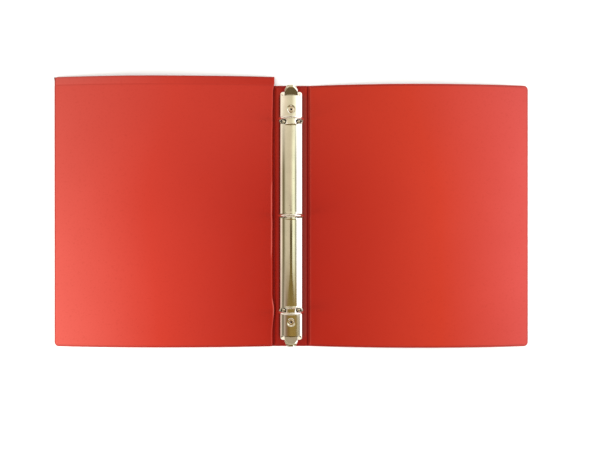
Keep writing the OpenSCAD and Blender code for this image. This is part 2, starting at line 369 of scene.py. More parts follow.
def colour_cover(case, side, a, y):
    distance = edge_distance(a, y)
    beside_shell = 1 - smooth((np.abs(y) - 136 * MM) / (6 * MM))
    add_attribute(case, "edge", wear(distance))
    # Painted shade in the hinge crease, in the channel beside the ring mechanism and along the outline.
    add_attribute(case, "fold", np.maximum(painted_hinge_shade(side, a), painted_outline_shade(distance)))
    # Painted light and sheen, paler towards the free edge.
    add_attribute(case, "painted_light", painted_light_share(side, a, y))
    # Painted shadow along the foot of the ring mechanism.
    add_attribute(case, "painted_foot_shadow", painted_foot_shadow(side, a) * beside_shell)
    if side == REAR:
        # Painted shade and sheen in the spine's channel beside the ring mechanism.
        add_attribute(case, "painted_channel_shade_and_sheen", painted_channel_shade_and_sheen(a) * beside_shell)
        # Painted highlight on the convex bend where the cover rises from the hinge.
        add_attribute(case, "painted_highlight", 0.22 * hill(a - HINGE_OUT, 0.7 * MM))


def wear(distance):
    return 1 - smooth(distance / (2 * MM))


def painted_outline_shade(distance):
    """Painted shade: a slightly dark line along the outline."""
    return 0.5 * hill(distance, 1.4 * MM)


def painted_light_share(side, a, y):
    """Painted light and sheen, as a share from deep to pale red: towards the free edge, and beside the hinge
    towards the top.
    """
    across = np.clip((a - HINGE_OUT) / (FAR - HINGE_OUT), 0, 1)
    up = y / HALF_H
    pale = across * (0.89 - 0.11 * up) if side == FRONT else across ** 1.3
    lip = smooth((y - HALF_H) / MM) * 0.3 * (across - 0.5)
    return np.clip(pale + lip + 0.28 * smooth(up) * (1 - across), 0, 1)


def painted_hinge_shade(side, a):
    """Painted shade: dark along the hinge's fold line, where the crease lies in shade, and less so in the
    channel beside the ring mechanism.
    """
    fold = hill(a - FOLD_AT[side], 1.1 * MM, 4)
    channel = 0.42 * (1 - smooth((a - HINGE_IN + 1 * MM) / (3 * MM)))
    return np.maximum(fold, channel)


def painted_foot_shadow(side, a):
    """Painted shadow along the foot of the ring mechanism, thicker on the left."""
    amount = 1.0 if side == FRONT else 0.35
    return amount * hill(a - SHELL_HALF - 0.8 * MM, 1 * MM, 4)


def painted_channel_shade_and_sheen(a):
    """Painted shade and sheen on the spine beside the ring mechanism: a darker, greyer red."""
    return smooth((a - SHELL_HALF) / MM) * (1 - smooth((a - HINGE_IN + MM) / (1.5 * MM)))


# ---- The loose pocket panel on the front cover ----

POCKET_START = 21 * MM       # the grid's first column, before the free edge gets its own shape
POCKET_T = 0.45 * MM
POCKET_GAP = 0.04 * MM       # between the panel and the cover under it
FREE_EDGE_STEPS = [0, 0.08, 0.2, 0.35, 0.6, 0.9, 1.3, 1.8, 2.4, 3.2, 4.2, 5.5, 7, 9, 12, 16, 20]    # in mm


def free_edge(y):
    """The panel's free edge beside the hinge, which wanders a little."""
    wander = 1.1 * MM * smooth((HALF_H - y) / (75 * MM))
    corner = 1.5 * MM * smooth((y - (HALF_H - 8 * MM)) / (12 * MM))
    bulge = 2.4 * MM * hill(y + 110 * MM, 13 * MM)
    ripple = 0.12 * MM * np.sin(y / (9 * MM)) + 0.1 * MM * np.sin(y / (3.7 * MM) + 1)
    return 21.1 * MM + wander - corner - bulge + ripple


def highlight_strength(y):
    """How strongly a painted highlight shows along the panel's free edge: most in the middle and near the
    bottom ring.
    """
    middle = smooth((y + 50 * MM) / (10 * MM)) * smooth((42 * MM - y) / (10 * MM))
    low = smooth((y + 118 * MM) / (6 * MM)) * smooth((-94 * MM - y) / (6 * MM))
    return 0.3 + 0.7 * np.maximum(middle, low)


def past_cover(y):
    """0 on the cover and 1 at the end of the lip, which stands past the cover's top edge."""
    return np.clip((y - HALF_H) / (LIP_TOP - HALF_H), 0, 1)


def lip_flare(y):
    """How far the lip's outer side spreads."""
    return 1.1 * MM * past_cover(y) ** 1.5


def pocket_grid():
    """The grid's distances from the middle of the spine, and its heights."""
    rows = [-HALF_H + e for e in EDGE_STEPS]
    fold_start = HALF_H - 8 * MM
    rows += graded((-HALF_H + 7 * MM, fold_start, 2.5 * MM), (fold_start, LIP_TOP - 0.6 * MM, 0.5 * MM))
    rows += [LIP_TOP - e * MM for e in (0.35, 0.2, 0.08, 0)]
    columns = [POCKET_START + e * MM for e in FREE_EDGE_STEPS]
    columns += graded((POCKET_START + 25 * MM, FAR - 8 * MM, 5 * MM))
    columns += [FAR - e for e in EDGE_STEPS[::-1]]
    nominal, y = np.meshgrid(columns, rows)
    outer = lip_flare(y) - np.where(y < 0, corner_inset(y), 0)
    inner = free_edge(y) - POCKET_START
    return nominal + outer * follow(FAR - nominal) + inner * follow(nominal - POCKET_START), y


def pocket_underside(a, y, distance, from_free):
    """Height of the panel's lower face, which lies loosely on the cover and droops past its top edge."""
    cover = underside(FRONT, a) + weld_profile(np.maximum(distance, 0.3 * MM))
    cover += relief(FRONT, a, y) * inside(distance)
    curl = (0.55 * MM + 0.2 * MM * np.sin(y / (17 * MM))) * np.exp(-from_free / (1.6 * MM))
    billow = 1 + np.sin(y / (31 * MM) + 0.6)
    loose = 0.35 * MM * smooth(from_free / (6 * MM)) * np.exp(-from_free / (45 * MM)) * billow
    step = 0.15 * MM * hill(y - HALF_H - 0.4 * MM, 0.9 * MM)
    beyond = past_cover(y)
    droop = 1.7 * MM * beyond ** 1.3 - 0.25 * MM * np.sin(a / (23 * MM)) * beyond
    return np.maximum(cover + curl + loose - step - droop + POCKET_GAP, 0)


def pocket_panel():
    a, y = pocket_grid()
    distance = np.where(y < 0, edge_distance(a, y), FAR - a)
    distance = np.minimum(distance, FAR - a + lip_flare(y))
    from_free = np.clip(a - free_edge(y), 0, None)
    from_top = LIP_TOP - y
    low = pocket_underside(a, y, distance, from_free)
    end = np.minimum(np.minimum(np.maximum(distance, 0), from_free), np.maximum(from_top, 0))
    rim = round_rim(end, POCKET_T / 2, 0.22 * MM)
    top = np.dstack([-a, y, low + POCKET_T - rim])
    panel = closed_sheet("pocket_panel", top, np.dstack([-a, y, low + rim]), flip=True)
    to_outline = np.minimum(distance, from_top)
    # Painted shade along the cover's top edge, where the lip bends over it.
    lip_bend_shade = 0.2 * hill(y - HALF_H + 0.2 * MM, 0.7 * MM)
    add_attribute(panel, "edge", wear(to_outline))
    # Painted shade where the lip bends and along the outline.
    add_attribute(panel, "fold", np.maximum(lip_bend_shade, painted_outline_shade(to_outline)))
    # Painted light and sheen, paler towards the free edge.
    add_attribute(panel, "painted_light", painted_light_share(FRONT, a, y))
    # Painted highlight along the panel's free edge.
    add_attribute(panel, "painted_highlight", highlight_strength(y) * hill(from_free, 0.95 * MM))
    return panel


# ---- The ring mechanism's shell ----

SHEET_T = 0.8 * MM
ARCH_END = SHELL_END - 5.3 * MM              # where the arch stops and the ears go on
ARCH_RISE = 4.7 * MM
ARCH_R = (SHELL_HALF ** 2 + ARCH_RISE ** 2) / (2 * ARCH_RISE)
ARCH_Z = CROWN_Z - ARCH_R
SHOULDER_R = 1.5 * MM
FOOT_CURL = 0.5 * MM                         # radius of the bend from the wall to the lip
LIP_W = 2.4 * MM
EAR_TAPER = 2.6 * MM                         # how much narrower each side is at the ears' tips
DIMPLE_Z = CROWN_Z - 1 * MM
PAD_RISE = (0.5 * MM, 0.12 * MM, 0.5 * MM)   # of the pads at the top, middle and bottom ring
SLOT_X = 7.9 * MM
SLOT_R = 2.6 * MM
SLOT_Z = SHELL_BASE + 2.2 * MM
LUG_Y = ARCH_END + 3 * MM                    # the triggers' pivots
LUG_Z = SHELL_BASE + 2.2 * MM
LUG_HOLE_R = 0.85 * MM
RIVET_SHANK = 2.2 * MM


def shell_side(inset):
    """Half a section of the shell from crown to lip, for the outer face or for the inner one."""
    cx = SHELL_HALF - SHOULDER_R
    cz = ARCH_Z + math.sqrt((ARCH_R - SHOULDER_R) ** 2 - cx ** 2)
    start = math.degrees(math.atan2(cz - ARCH_Z, cx))
    points = arc(0, ARCH_Z, ARCH_R - inset, 90, start, 34)
    points += arc(cx, cz, SHOULDER_R - inset, start, 0, 7)[1:]
    wall = SHELL_HALF - inset
    base = SHELL_BASE + inset
    if inset:
        points += [(wall, base + 1 * MM), (wall, base + 0.02 * MM)]
    else:
        points.append((wall, base + 1.8 * MM))
        points += arc(wall - FOOT_CURL, base + FOOT_CURL, FOOT_CURL, 0, -90, 5)
    return points + [(SHELL_HALF - 1.6 * MM, base), (SHELL_HALF - LIP_W, base)]


def shell_section():
    """The shell's closed section as (x, z) points, and how far each is under the outer face."""
    outer, inner = shell_side(0), shell_side(SHEET_T)
    right = outer + inner[::-1]
    left = [(-x, z) for x, z in (inner[1:] + outer[::-1][:-1])]
    depth = [0] * len(outer) + [1] * (2 * len(inner) - 1) + [0] * (len(outer) - 1)
    return np.array(right + left), np.array(depth) * SHEET_T


def shell_rows():
    """Places along the shell, close together at the ends of its arch and round the rivets and slots."""
    coarse, fine, finest = 3 * MM, 0.35 * MM, 0.1 * MM
    crisp, margin, reach = 0.3 * MM, 2 * MM, 6.5 * MM
    stops = [(-SHELL_END, -ARCH_END - crisp, fine), (-ARCH_END - crisp, -ARCH_END + crisp, finest),
             (-ARCH_END + crisp, -ARCH_END + margin, fine)]
    place = -ARCH_END + margin
    for mark in sorted([-RIVET_Y, RIVET_Y] + RING_Y):
        stops += [(place, mark - reach, coarse), (mark - reach, mark + reach, fine)]
        place = mark + reach
    stops += [(place, ARCH_END - margin, coarse), (ARCH_END - margin, ARCH_END - crisp, fine),
              (ARCH_END - crisp, ARCH_END + crisp, finest), (ARCH_END + crisp, SHELL_END, fine)]
    return graded(*stops)


def pad(x, y, ring_y):
    """1 on the pad between a ring's two slots, which widens towards its ends, and 0 round it."""
    off = np.abs(y - ring_y)
    reach = 4.3 * MM + 1.9 * MM * (off / (4.4 * MM)) ** 2
    across = 1 - smooth((np.abs(x) - reach) / (1.1 * MM))
    return across * (1 - smooth((off - 3.5 * MM) / (1.1 * MM)))


def slope_ears(y, z, depth):
    """Brings the shell down past the end of its arch, in a soft bend."""
    beyond = np.abs(y) - ARCH_END
    ear = np.maximum(beyond, 0)
    slope = 8.4 * MM - 0.3 * ear - 0.05 * ear ** 2 / MM - depth
    blend = 0.3 * MM
    pressed = -blend * np.logaddexp(-z / blend, -slope / blend)
    near_end = smooth((beyond + 0.05 * MM) / (0.3 * MM))
    return mix(z, np.where(z > SHELL_BASE + 1.6 * MM, pressed, z), near_end)


def shell_heights(x, y, z, depth):
    """Presses the dimples, the pads between the slots and the sloping ears into the section."""
    upper = smooth((z - 8.4 * MM) / (0.9 * MM))
    for end in (-1, 1):
        to_rivet = np.hypot(x, y - end * RIVET_Y)
        z = mix(z, DIMPLE_Z - depth, (1 - smooth((to_rivet - 3.4 * MM) / (1.7 * MM))) * upper)
    for ring_y, rise in zip(RING_Y, PAD_RISE):
        z = z + rise * pad(x, y, ring_y) * upper
    return slope_ears(y, z, depth)


def slot_cutter(side, ring_y):
    """A ring slot: round at its inner end and open over the shoulder."""
    open_x = SHELL_HALF + 2.3 * MM
    outline = arc(SLOT_X, ring_y, SLOT_R, 90, 270, 24)
    outline += [(open_x, ring_y - SLOT_R), (open_x, ring_y + SLOT_R)]
    outline = [(side * x, y) for x, y in outline]
    return prism("slot", outline if side > 0 else outline[::-1], SLOT_Z, CROWN_Z + 3 * MM)


def notch_cutter(end):
    """Takes away the shell's middle past the end of its arch, which leaves an ear on each side."""
    half, r, open_y = 7.7 * MM, 0.4 * MM, ARCH_END + 9 * MM
    outline = arc(half - r, ARCH_END + r, r, -90, 0, 6) + [(half, open_y), (-half, open_y)]
    outline += arc(-half + r, ARCH_END + r, r, 180, 270, 6)
    outline = [(x, end * y) for x, y in outline]
    return prism("notch", outline if end > 0 else outline[::-1], 0, CROWN_Z + 3 * MM)


def rivet_hole_cutter(end):
    """A round hole, turned a little so that none of its corners lies on the shell's middle line."""
    sides, turned = 48, 2
    outline = arc(0, end * RIVET_Y, RIVET_SHANK, turned, turned + 360 * (sides - 1) / sides, sides - 1)
    return prism("rivet_hole", outline, 0, CROWN_Z + MM)


def ring_shell():
    section, depth = shell_section()
    rings = []
    for y in shell_rows():
        past = max(0, abs(y) - ARCH_END) / (SHELL_END - ARCH_END)
        x = section[:, 0] * (1 - EAR_TAPER / SHELL_HALF * past ** 4)
        along = np.full_like(x, y)
        rings.append(np.column_stack([x, along, shell_heights(x, along, section[:, 1], depth)]))
    shell = loft("ring_shell_stamped", rings)
    for sign in (-1, 1):
        for ring_y in RING_Y:
            boolean(shell, slot_cutter(sign, ring_y))
        boolean(shell, notch_cutter(sign))
        boolean(shell, rivet_hole_cutter(sign))
        boolean(shell, cylinder_x("lug_hole", LUG_HOLE_R, 2 * SHELL_HALF, sign * LUG_Y, LUG_Z))
    return shell


# ---- Rings ----

TONGUE_START, TONGUE_END = 84.7, 94.9        # degrees round the ring, where 90 is its top
BEAD_AT = -46
FOOT_AT = -58


def ring_stations():
    """Stations along a half ring's wire from foot to tip: degrees, radius, and whether it is halved."""
    foot_r = 1.4 * MM
    stations = []
    for f in (0.995, 0.9, 0.7, 0.4, 0.0):
        round_end = math.degrees(math.asin(f) * foot_r / RING_R)
        stations.append((FOOT_AT - round_end, foot_r * math.sqrt(1 - f * f), False))
    bead_r, bead_half = 1.88 * MM, 1.35 * MM
    for along in np.linspace(-bead_half, bead_half, 13):
        stations.append((BEAD_AT + math.degrees(along / RING_R), math.sqrt(bead_r ** 2 - along ** 2), False))
    stations += [(t, WIRE_R, False) for t in np.linspace(BEAD_AT + 6, TONGUE_START, 50)]
    stations += [(t, WIRE_R, True) for t in np.linspace(TONGUE_START, TONGUE_END - 0.5, 6)]
    return stations + [(TONGUE_END, 0.88 * WIRE_R, True)]


def swaged_foot(side, ring_y):
    """The flattened foot of a half ring, which fills the mouth of its slot."""
    profile = [(math.cos(t), math.sin(t)) for t in np.radians(np.linspace(-90, 90, 17))]
    foot = lathe("foot", profile, 0, 32)
    place = Vector((side * 9 * MM, ring_y, 7.7 * MM))
    foot.data.transform(Matrix.LocRotScale(place, None, Vector((3 * MM, 1.85 * MM, 0.9 * MM))))
    return foot


def half_ring(name, side, ring_y):
    """A half ring: a bead, a flattened foot, a round wire, and a tongue that laps beside the other half's."""
    split = 0.04 * MM
    turn = np.linspace(0, 2 * math.pi, 28, endpoint=False)
    rings = []
    for degrees, wire, halved in ring_stations():
        t = math.radians(degrees)
        across = wire * np.sin(turn)
        if halved:
            across = np.maximum(across, split)
        reach = RING_R + wire * np.cos(turn)
        x = side * reach * math.cos(t)
        rings.append(np.column_stack([x, ring_y + side * across, RING_Z + reach * math.sin(t)]))
    ring = loft(name, rings, sharp_deg=50)
    boolean(ring, swaged_foot(side, ring_y), "UNION")
    return ring


# ---- Rivets ----

BORE_R = 1.05 * MM
POST_R = 3 * MM


def rivet_profile():
    """From the flush head in the back, up the post, over the rolled cap and down into the bore."""
    head = [(0, 0.16), (1.2, 0.14), (1.7, 0.02), (3.95, 0.03), (4.33, 0.1), (4.45, 0.25)]
    head = [(r * MM, z * MM) for r, z in head]
    head.append((head[-1][0], VINYL_T))
    post_top = DIMPLE_Z - SHEET_T
    post = [(RIVET_SHANK, VINYL_T), (RIVET_SHANK, PANEL_T), (POST_R, PANEL_T), (POST_R, post_top),
            (RIVET_SHANK, post_top), (RIVET_SHANK, DIMPLE_Z)]
    cap = [(3.3 * MM, DIMPLE_Z)] + arc(2.75 * MM, DIMPLE_Z + 0.15 * MM, 0.5 * MM, 0, 80, 5)
    cap += arc(1.75 * MM, DIMPLE_Z + 0.05 * MM, 0.6 * MM, 90, 180, 6)
    bore = [(BORE_R, DIMPLE_Z - 1 * MM), (BORE_R, PANEL_T + 1.6 * MM), (0, PANEL_T + 0.3 * MM)]
    return head + post + cap + bore


def rivet(name, y):
    """A hollow rivet, with painted shade in its bore."""
    obj = lathe(name, rivet_profile(), y)
    height = np.array([v.co.z for v in obj.data.vertices])
    reach = np.array([math.hypot(v.co.x, v.co.y - y) for v in obj.data.vertices])
    in_bore = (reach < BORE_R + 0.05 * MM) & (height > PANEL_T) & (height < DIMPLE_Z + 0.3 * MM)
    # Painted shade in the bore.
    add_attribute(obj, "painted_bore_shade", in_bore)
    return obj


# ---- Triggers ----
# Their points are distances outwards (u) and upwards (v) from the pivot.

PLATE_LINE = [(-2.35 * MM, 3.9 * MM), (5.3 * MM, 8 * MM), (8.05 * MM, 8.2 * MM)]
PLATE_BEND_R = 0.8 * MM
HUB_R, HUB_HALF = 1.6 * MM, 7.4 * MM
LUG_R, LUG_HALF = 0.8 * MM, 9.6 * MM
WEB_HALF = 7.1 * MM
WEB_SIDE = [(-1.5 * MM, 0), (1.5 * MM, 0), (1.5 * MM, 5.3 * MM), (-1.5 * MM, 3.7 * MM)]
FINGER_HALF, FINGER_L = 1.6 * MM, 5 * MM


def round_corners(points, radius, steps):
    """Fillets the inner corners of an open line of points."""
    result = [points[0]]
    for before, here, after in zip(points, points[1:], points[2:]):
        p, a, b = (np.array(v, float) for v in (here, before, after))
        cut = min(radius, 0.45 * np.linalg.norm(a - p), 0.45 * np.linalg.norm(b - p))
        start = p + (a - p) / np.linalg.norm(a - p) * cut
        end = p + (b - p) / np.linalg.norm(b - p) * cut
        for t in np.linspace(0, 1, steps + 1):
            result.append(tuple((1 - t) ** 2 * start + 2 * t * (1 - t) * p + t * t * end))
    return result + [points[-1]]


def trigger_half_width(u):
    """Half the plate's width, which tapers to a round-cornered tip."""
    full, tip_half, tip_r, taper_from = 7.4 * MM, 5.9 * MM, 2.6 * MM, 2.5 * MM
    corner = PLATE_LINE[-1][0] - tip_r
    width = mix(full, tip_half, np.clip((u - taper_from) / (corner - taper_from), 0, 1))
    past = np.clip(u - corner, 0, tip_r)
    return width - tip_r + np.sqrt(tip_r ** 2 - past ** 2)


def rolled_sides(u, off_middle):
    """How far the plate turns down at its sides, past the edges of its flat facet."""
    soft, deepest = 0.12 * MM, 1.3 * MM
    facet = mix(8 * MM, 2.4 * MM, np.clip(u / (6.2 * MM), 0, 1) ** 1.1)
    past = soft * np.logaddexp(0, (off_middle - facet) / soft)
    return -deepest * (1 - np.exp(-0.75 * past / deepest))


def trigger_plate():
    """The pressed plate at the top end, as a grid that runs outwards along its line and across it."""
    line = np.array(round_corners(PLATE_LINE, PLATE_BEND_R, 8))
    along = np.concatenate([[0], np.cumsum(np.hypot(*np.diff(line, axis=0).T))])
    tip_steps = np.array([1.9, 1.6, 1.3, 1.0, 0.75, 0.5, 0.3, 0.15, 0.05, 0]) * MM
    places = np.concatenate([np.linspace(0, along[-1] - 2.2 * MM, 30), along[-1] - tip_steps])
    u, v = np.interp(places, along, line[:, 0]), np.interp(places, along, line[:, 1])
    du, dv = np.gradient(u, places), np.gradient(v, places)
    u, v, du, dv = (values[:, None] for values in (u, v, du, dv))
    across = np.concatenate([[-1, -0.99, -0.965], np.linspace(-0.93, 0.93, 29), [0.965, 0.99, 1]])
    half = trigger_half_width(u)
    off_middle = half * np.abs(across)
    shift = rolled_sides(u, off_middle)
    rim = 0.15 * MM * (1 - np.clip((half - off_middle) / (0.2 * MM), 0, 1))
    faces = []
    for offset in (shift - rim, shift - SHEET_T + rim):
        points = np.broadcast_arrays(across * half, LUG_Y + u - dv * offset, LUG_Z + v + du * offset)
        faces.append(np.dstack(points))
    return closed_sheet("plate", *faces)


def trigger(name, end):
    """The plate, its hub with two lugs, a web between them, and a finger that reaches under the rails."""
    plate = trigger_plate()
    boolean(plate, cylinder_x("hub", HUB_R, HUB_HALF, LUG_Y, LUG_Z), "UNION")
    web = [[(x, LUG_Y + u, LUG_Z + v) for u, v in WEB_SIDE] for x in (-WEB_HALF, WEB_HALF)]
    boolean(plate, loft("web", web), "UNION")
    boolean(plate, cylinder_x("lugs", LUG_R, LUG_HALF, LUG_Y, LUG_Z), "UNION")
    finger = [(-FINGER_HALF, LUG_Y - FINGER_L), (FINGER_HALF, LUG_Y - FINGER_L), (FINGER_HALF, LUG_Y),
              (-FINGER_HALF, LUG_Y)]
    boolean(plate, prism("finger", finger, LUG_Z - 1.9 * MM, LUG_Z - 1.25 * MM), "UNION")
    if end < 0:
        plate.data.transform(Matrix.Rotation(math.pi, 4, "Z"))
    plate.name = plate.data.name = name
    return plate


# ---- Materials ----

class Nodes:
    """The node tree of a material or a world, with short calls for the nodes used here."""

    def __init__(self, owner, coordinates="Object", shader="Principled BSDF"):
        owner.use_nodes = True
        self.owner = owner
        self.tree = owner.node_tree
        self.shader = self.tree.nodes[shader]
        self.place = self.tree.nodes.new("ShaderNodeTexCoord").outputs[coordinates]

    @classmethod
    def material(cls, name):
        return cls(bpy.data.materials.new(name))

    def link(self, source, target):
        self.tree.links.new(source, target)

    def scaled(self, scale):
        node = self.tree.nodes.new("ShaderNodeMapping")
        self.link(self.place, node.inputs["Vector"])
        node.inputs["Scale"].default_value = scale
        return node.outputs["Vector"]

    def noise(self, scale, detail=3, roughness=0.55, vector=None):
        node = self.tree.nodes.new("ShaderNodeTexNoise")
        self.link(vector or self.place, node.inputs["Vector"])
        node.inputs["Scale"].default_value = scale
        node.inputs["Detail"].default_value = detail
        node.inputs["Roughness"].default_value = roughness
        return node.outputs["Fac"]

    def cells(self, scale):
        node = self.tree.nodes.new("ShaderNodeTexVoronoi")
        self.link(self.place, node.inputs["Vector"])
        node.inputs["Scale"].default_value = scale
        return node.outputs["Distance"]

    def attribute(self, name):
        node = self.tree.nodes.new("ShaderNodeAttribute")
        node.attribute_name = name
        return node.outputs["Fac"]

    def ramp(self, source, low, high, start=0.3, end=0.7):
        """Goes from low to high as source goes from start to end."""
        node = self.tree.nodes.new("ShaderNodeMapRange")
        self.link(source, node.inputs["Value"])
        for key, value in (("From Min", start), ("From Max", end), ("To Min", low), ("To Max", high)):
            node.inputs[key].default_value = value
        return node.outputs["Result"]

    def rise(self, source, start, end):
        """Goes from 0 to 1 as source goes from start to end."""
        return self.ramp(source, 0, 1, start, end)

    def math(self, operation, a, b):
        node = self.tree.nodes.new("ShaderNodeMath")
        node.operation = operation
        for socket, value in zip(node.inputs, (a, b)):
            if isinstance(value, (int, float)):
                socket.default_value = value
            else:
                self.link(value, socket)
        return node.outputs["Value"]

    def add(self, a, b):
        return self.math("ADD", a, b)

    def times(self, a, b):
        return self.math("MULTIPLY", a, b)

    def mix(self, factor, a, b):
        node = self.tree.nodes.new("ShaderNodeMix")
        node.data_type = "RGBA"
        self.link(factor, node.inputs["Factor"])
        for socket, value in ((node.inputs[6], a), (node.inputs[7], b)):
            if isinstance(value, tuple):
                socket.default_value = (*value, 1)
            else:
                self.link(value, socket)
        return node.outputs[2]

    def separate(self, vector):
        node = self.tree.nodes.new("ShaderNodeSeparateXYZ")
        self.link(vector, node.inputs["Vector"])
        return node.outputs

    def bands(self, source, stops):
        """A colour ramp from stops of (degrees, colour), where 0 to 1 is -90 to 90 degrees."""
        node = self.tree.nodes.new("ShaderNodeValToRGB")
        self.link(source, node.inputs["Fac"])
        elements = node.color_ramp.elements
        while len(elements) < len(stops):
            elements.new(0.5)
        for element, (degrees, color) in zip(elements, stops):
            element.position = (degrees + 90) / 180
            element.color = (*color, 1)
        return node.outputs["Color"]

    def bump(self, height, distance, strength=1.0, under=None):
        node = self.tree.nodes.new("ShaderNodeBump")
        node.inputs["Strength"].default_value = strength
        node.inputs["Distance"].default_value = distance
        self.link(height, node.inputs["Height"])
        if under is not None:
            self.link(under, node.inputs["Normal"])
        return node.outputs["Normal"]

    def finish(self, color, roughness, normal, **constants):
        self.link(color, self.shader.inputs["Base Color"])
        self.link(roughness, self.shader.inputs["Roughness"])
        self.link(normal, self.shader.inputs["Normal"])
        for key, value in constants.items():
            self.shader.inputs[key.replace("_", " ")].default_value = value
        return self.owner


# The vinyl's reds from the spine to the free edge: deep, middle and pale; the middle and pale reds carry
# painted light and sheen.
SKIN_REDS = ((0.325, 0.0085, 0.0008), (0.45, 0.027, 0.0085), (0.475, 0.0575, 0.047))
FILM_REDS = ((0.335, 0.0085, 0.0008), (0.46, 0.030, 0.0150), (0.51, 0.080, 0.060))
# Painted shade.
PAINTED_SHADE_RED = (0.16, 0.001, 0.0005)
# Painted shade and sheen.
SHADE_AND_SHEEN_RED = (0.156, 0.030, 0.020)
# Painted shadow.
FOOT_SHADOW_RED = (0.03, 0.006, 0.002)
# Painted highlight.
HIGHLIGHT_RED = (0.60, 0.11, 0.085)
WORN = (0.60, 0.09, 0.06)
# Painted shade in a rivet's bore, cool and warm.
COOL_BORE_SHADE = (0.02, 0.014, 0.008)
WARM_BORE_SHADE = (0.07, 0.02, 0.008)
OFF_WHITE = ((0.93, 0.93, 0.91), (0.91, 0.91, 0.885))


def darker(color, share):
    return tuple(share * c for c in color)


def vinyl_color(n, deep, middle, pale):
    """Red that grows paler far from the spine with painted light and sheen, with faint mottling and flecks,
    then worn edges and painted shade, shadow, sheen and highlight.
    """
    # Painted light and sheen: deep red near the spine, paler towards the free edges.
    painted_light = n.attribute("painted_light")
    color = n.mix(n.rise(painted_light, 0, 0.5), deep, middle)
    color = n.mix(n.rise(painted_light, 0.5, 1), color, pale)
    color = n.mix(n.ramp(n.noise(7, 3), 0, 0.12, 0.35, 0.7), color, darker(deep, 0.86))
    color = n.mix(n.ramp(n.noise(420, 3), 0, 0.2, 0.55, 0.75), color, darker(deep, 0.8))
    worn = n.times(n.attribute("edge"), n.ramp(n.noise(95, 5, 0.65), 0, 0.4, 0.5, 0.7))
    color = n.mix(worn, color, WORN)
    # Painted shade in the crease, the channels, along the outline and where the pocket's lip bends.
    color = n.mix(n.times(n.attribute("fold"), 0.85), color, PAINTED_SHADE_RED)
    # Painted shade and sheen in the right channel.
    color = n.mix(n.times(n.attribute("painted_channel_shade_and_sheen"), 0.5), color, SHADE_AND_SHEEN_RED)
    # Painted shadow at the foot of the ring mechanism.
    color = n.mix(n.times(n.attribute("painted_foot_shadow"), 0.9), color, FOOT_SHADOW_RED)
    # Painted highlight on the bend past the hinge and along the pocket's free edge.
    return n.mix(n.attribute("painted_highlight"), color, HIGHLIGHT_RED)


def vinyl(name, deep, middle, pale, gloss):
    """Calendered vinyl with a fine pebble grain over soft unevenness, and duller in its folds."""
    n = Nodes.material(name)
    grain = n.add(n.times(n.cells(1500), 0.6), n.noise(900, 4))
    normal = n.bump(grain, 0.03 * MM, 0.5)
    normal = n.bump(n.noise(38, 2), 0.25 * MM, 0.3, normal)
    rough = n.ramp(n.noise(26, 4), gloss - 0.05, gloss + 0.07)
    rough = n.add(rough, n.ramp(n.noise(300, 3), -0.03, 0.05))
    rough = n.add(rough, n.times(n.attribute("fold"), 0.35))
    return n.finish(vinyl_color(n, deep, middle, pale), rough, normal, Specular_IOR_Level=0.2)


def nickel(name, tint, rough, scratch_scale, bore_shade=COOL_BORE_SHADE):
    """Bright nickel plate with fine draw lines, cloudy patches and small pits."""
    n = Nodes.material(name)
    lines = n.noise(1, 3, 0.6, n.scaled(scratch_scale))
    cloud = n.noise(70, 4)
    painted_bore_shade = n.attribute("painted_bore_shade")
    pits = n.rise(n.noise(650, 2), 0.68, 0.78)
    normal = n.bump(lines, 0.004 * MM, 0.5)
    normal = n.bump(n.noise(140, 2), 0.02 * MM, 0.25, normal)
    color = n.mix(n.ramp(cloud, 0, 1), tint, darker(tint, 0.9))
    color = n.mix(pits, color, darker(tint, 0.5))
    # Painted shade darkens a rivet's bore.
    color = n.mix(painted_bore_shade, color, bore_shade)
    roughness = n.add(n.ramp(cloud, rough, rough + 0.05), n.ramp(lines, -0.015, 0.03))
    roughness = n.add(roughness, n.times(painted_bore_shade, 0.5))
    return n.finish(color, roughness, normal, Metallic=1.0)


def rail_steel():
    """Plain rolled steel with oil stains."""
    n = Nodes.material("rail_steel_rolled")
    lines = n.noise(1, 4, 0.6, n.scaled((2500, 90, 2500)))
    stain = n.noise(120, 4)
    color = n.mix(n.ramp(stain, 0, 1), (0.42, 0.40, 0.36), (0.25, 0.23, 0.19))
    rough = n.add(n.ramp(stain, 0.3, 0.45), n.ramp(lines, -0.05, 0.08))
    return n.finish(color, rough, n.bump(lines, 0.01 * MM, 0.6), Metallic=1.0)


def grey_board():
    """Pressed grey board with fibres."""
    n = Nodes.material("grey_board_fibre")
    fibre = n.noise(1, 5, 0.7, n.scaled((260, 900, 260)))
    color = n.mix(n.ramp(fibre, 0, 1), (0.36, 0.31, 0.25), (0.22, 0.19, 0.15))
    rough = n.ramp(n.noise(500), 0.85, 0.98)
    return n.finish(color, rough, n.bump(fibre, 0.08 * MM, 0.8))


def table_top():
    """A plain white table, barely uneven."""
    n = Nodes.material("table_white")
    cloud = n.noise(5, 2)
    color = n.mix(n.ramp(cloud, 0, 1), *OFF_WHITE)
    return n.finish(color, n.ramp(cloud, 0.6, 0.7), n.bump(n.noise(700), 0.01 * MM, 0.2))


# ---- Build ----

def paint(obj, material):
    obj.data.materials.clear()
    obj.data.materials.append(material)


def dress(piece, material, slot, *nodes):
    """Gives a new piece its material, and hides the CAD nodes that it stands for; the slot is not used."""
    paint(piece, material)
    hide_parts(*nodes)


def dress_node(name, material):
    """Gives a CAD node that stays its material and softened edges."""
    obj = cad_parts[name]
    paint(obj, material)
    bevel = obj.modifiers.new("Edges", "BEVEL")
    bevel.width = 0.08 * MM
    bevel.segments = 2
    bevel.limit_method = "ANGLE"
    bevel.angle_limit = math.radians(50)


